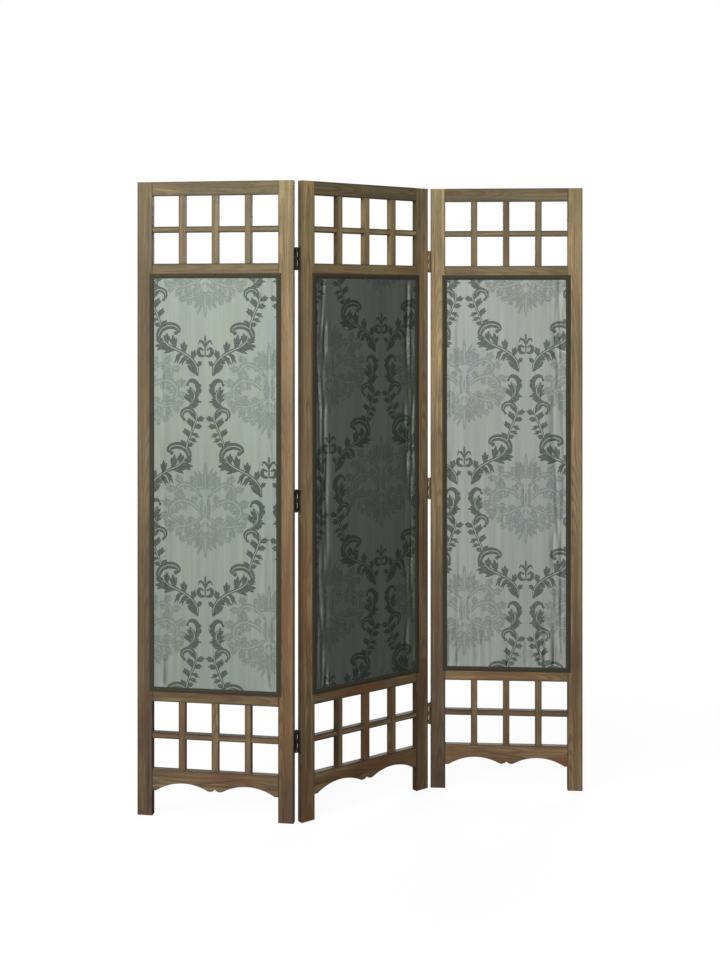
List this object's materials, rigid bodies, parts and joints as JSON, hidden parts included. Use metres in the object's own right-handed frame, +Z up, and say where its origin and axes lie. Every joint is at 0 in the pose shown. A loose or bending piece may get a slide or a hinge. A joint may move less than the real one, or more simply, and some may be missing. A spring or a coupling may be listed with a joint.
{
  "type": "folding room divider screen",
  "caption": "Tall zigzag folding screen of hinged timber panels, each with lattice ends, a scalloped apron and a stretched damask cloth centre.",
  "frame": {"origin": "middle of the standing screen's bounding box, on the floor", "axes": "+Z up, front towards -Y, +X from the left panel to the right panel"},
  "size_m": [1.2268, 0.2756, 1.7],
  "materials": {
    "washed_timber": "grey-brown washed, open grain",
    "damask_cloth": "satin damask",
    "dark_braid": "corded upholstery braid",
    "dark_bronze": "oil-rubbed",
    "antique_brass": "aged",
    "staple_steel": "plain"
  },
  "bodies": {
    "left_panel": {"left_stile_outer": "washed_timber", "left_stile_hinge": "washed_timber", "left_top_rail": "washed_timber", "left_upper_rail": "washed_timber", "left_lower_rail": "washed_timber", "left_apron": "washed_timber", "left_upper_bars": "washed_timber", "left_upper_crossbar": "washed_timber", "left_lower_bars": "washed_timber", "left_lower_crossbar": "washed_timber", "left_cloth": "damask_cloth", "left_braid": "dark_braid", "left_staples": "staple_steel", "left_hinge_low_panel_leaf": "dark_bronze", "left_hinge_mid_panel_leaf": "dark_bronze", "left_hinge_top_panel_leaf": "dark_bronze", "left_hinge_panel_screws": "dark_bronze"},
    "middle_panel": {"middle_stile_left": "washed_timber", "middle_stile_right": "washed_timber", "middle_top_rail": "washed_timber", "middle_upper_rail": "washed_timber", "middle_lower_rail": "washed_timber", "middle_apron": "washed_timber", "middle_upper_bars": "washed_timber", "middle_upper_crossbar": "washed_timber", "middle_lower_bars": "washed_timber", "middle_lower_crossbar": "washed_timber", "middle_cloth": "damask_cloth", "middle_braid": "dark_braid", "middle_staples": "staple_steel", "left_hinge_low_centre_leaf": "dark_bronze", "left_hinge_mid_centre_leaf": "dark_bronze", "left_hinge_top_centre_leaf": "dark_bronze", "left_hinge_centre_screws": "dark_bronze", "left_hinge_pins": "dark_bronze", "right_hinge_low_centre_leaf": "antique_brass", "right_hinge_mid_centre_leaf": "antique_brass", "right_hinge_top_centre_leaf": "antique_brass", "right_hinge_centre_screws": "antique_brass", "right_hinge_pins": "antique_brass"},
    "right_panel": {"right_stile_hinge": "washed_timber", "right_stile_outer": "washed_timber", "right_top_rail": "washed_timber", "right_upper_rail": "washed_timber", "right_lower_rail": "washed_timber", "right_apron": "washed_timber", "right_upper_bars": "washed_timber", "right_upper_crossbar": "washed_timber", "right_lower_bars": "washed_timber", "right_lower_crossbar": "washed_timber", "right_cloth": "damask_cloth", "right_braid": "dark_braid", "right_staples": "staple_steel", "right_hinge_low_panel_leaf": "antique_brass", "right_hinge_mid_panel_leaf": "antique_brass", "right_hinge_top_panel_leaf": "antique_brass", "right_hinge_panel_screws": "antique_brass"}
  },
  "joints": [
    {"name": "left_fold", "type": "hinge", "parent": "middle_panel", "child": "left_panel", "pos_m": [-0.18407, -0.11743, 0.85], "axis": [0, 0, 1], "range_deg": [-135.7, 44.3]},
    {"name": "right_fold", "type": "hinge", "parent": "middle_panel", "child": "right_panel", "pos_m": [0.18197, 0.11698, 0.85], "axis": [0, 0, 1], "range_deg": [-140.7, 39.3]}
  ]
}
